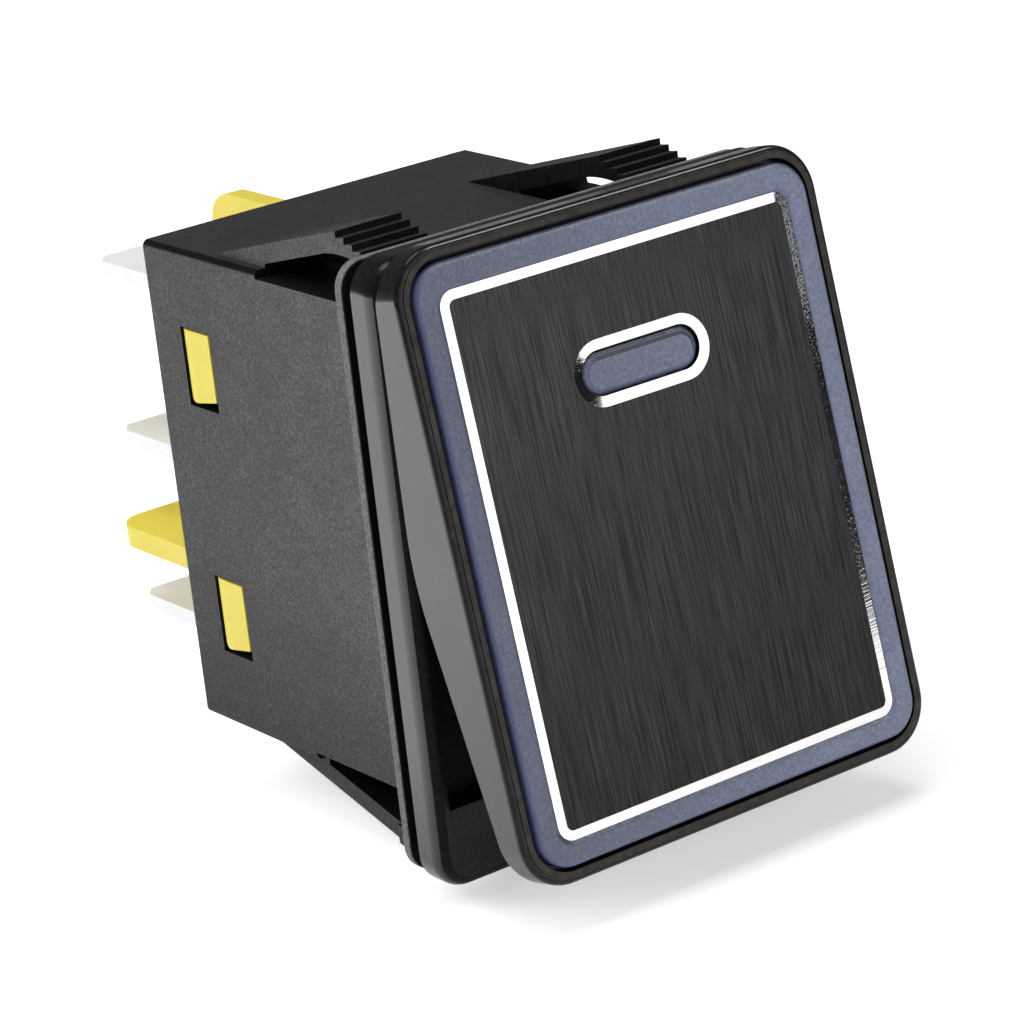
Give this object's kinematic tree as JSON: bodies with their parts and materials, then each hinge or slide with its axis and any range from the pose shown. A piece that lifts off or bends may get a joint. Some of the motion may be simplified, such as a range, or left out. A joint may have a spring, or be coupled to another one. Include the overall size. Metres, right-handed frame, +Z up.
{
  "type": "illuminated rocker switch",
  "caption": "Snap-in illuminated rocker switch: tilting rocker with a lit lens border and brushed dark plate on a black box body with toothed arms, yellow terminal base and blade terminals.",
  "frame": {"origin": "middle of the panel seat: the plane of the gasket's rear face, on the axis of the body", "axes": "+X to the right seen from the front, +Y to the rear through the panel, +Z up along the rocker's height"},
  "size_m": [0.0254, 0.0424, 0.0332],
  "materials": {
    "black_plastic": "fine matt texture on the body, polished on the bezel",
    "gasket_rubber": "matt",
    "yellow_plastic": "smooth satin",
    "gloss_black": "polished",
    "lens_blue": "translucent, fine sand texture",
    "brushed_plate": "dark, brushed along the height, with bright cut edges",
    "board_green": "satin",
    "tinned_brass": "tin plated, satin",
    "contact_silver": "silver faced",
    "spring_steel": "drawn wire",
    "resistor_black": "matt",
    "stud_brass": "turned",
    "plunger_white": "smooth",
    "bridge_copper": "rolled copper alloy strip",
    "led_white": "clear resin over phosphor"
  },
  "bodies": {
    "switch_body": {"housing": "black_plastic", "panel_gasket": "gasket_rubber", "terminal_base": "yellow_plastic", "lamp_terminal_left": "tinned_brass", "lamp_terminal_right": "tinned_brass", "supply_terminal_left": "tinned_brass", "supply_terminal_right": "tinned_brass", "load_terminal_left": "tinned_brass", "load_terminal_right": "tinned_brass", "fixed_contact_left": "contact_silver", "fixed_contact_right": "contact_silver", "lamp_spring_left": "spring_steel", "lamp_spring_right": "spring_steel"},
    "rocker_body": {"rocker": "gloss_black", "lens": "lens_blue", "face_plate": "brushed_plate", "lamp_board": "board_green", "led_top_left": "led_white", "led_top_right": "led_white", "led_bottom_left": "led_white", "led_bottom_right": "led_white", "led_pill": "led_white", "resistor_left": "resistor_black", "resistor_right": "resistor_black", "lamp_stud_left": "stud_brass", "lamp_stud_right": "stud_brass", "plunger_spring_left": "spring_steel", "plunger_spring_right": "spring_steel"},
    "plunger_body_left": {"plunger_left": "plunger_white"},
    "bridge_body_left": {"contact_bridge_left": "bridge_copper", "moving_contact_left": "contact_silver"},
    "plunger_body_right": {"plunger_right": "plunger_white"},
    "bridge_body_right": {"contact_bridge_right": "bridge_copper", "moving_contact_right": "contact_silver"}
  },
  "joints": [
    {"name": "rocker_tilt", "type": "hinge", "parent": "switch_body", "child": "rocker_body", "pos_m": [0, -0.0005, 0], "axis": [1, 0, 0], "range_deg": [0, 22], "deforming": ["lamp_spring_left", "lamp_spring_right"]},
    {"name": "plunger_slide_left", "type": "slide", "parent": "rocker_body", "child": "plunger_body_left", "axis": [0, -0.9816, 0.1908], "range_m": [0, 0.0012], "stiffness_N_per_m": 1500, "springref_m": -0.001, "deforming": ["plunger_spring_left"]},
    {"name": "bridge_tilt_left", "type": "hinge", "parent": "switch_body", "child": "bridge_body_left", "pos_m": [-0.00485, 0.0112, 0], "axis": [1, 0, 0], "range_deg": [-16.02, 0.02]},
    {"name": "plunger_slide_right", "type": "slide", "parent": "rocker_body", "child": "plunger_body_right", "axis": [0, -0.9816, 0.1908], "range_m": [0, 0.0012], "stiffness_N_per_m": 1500, "springref_m": -0.001, "deforming": ["plunger_spring_right"]},
    {"name": "bridge_tilt_right", "type": "hinge", "parent": "switch_body", "child": "bridge_body_right", "pos_m": [0.00485, 0.0112, 0], "axis": [1, 0, 0], "range_deg": [-16.02, 0.02]}
  ],
  "couplings": [
    {"joint": "bridge_tilt_left", "follows": "rocker_tilt", "ratio": -0.72727},
    {"joint": "bridge_tilt_right", "follows": "rocker_tilt", "ratio": -0.72727}
  ]
}
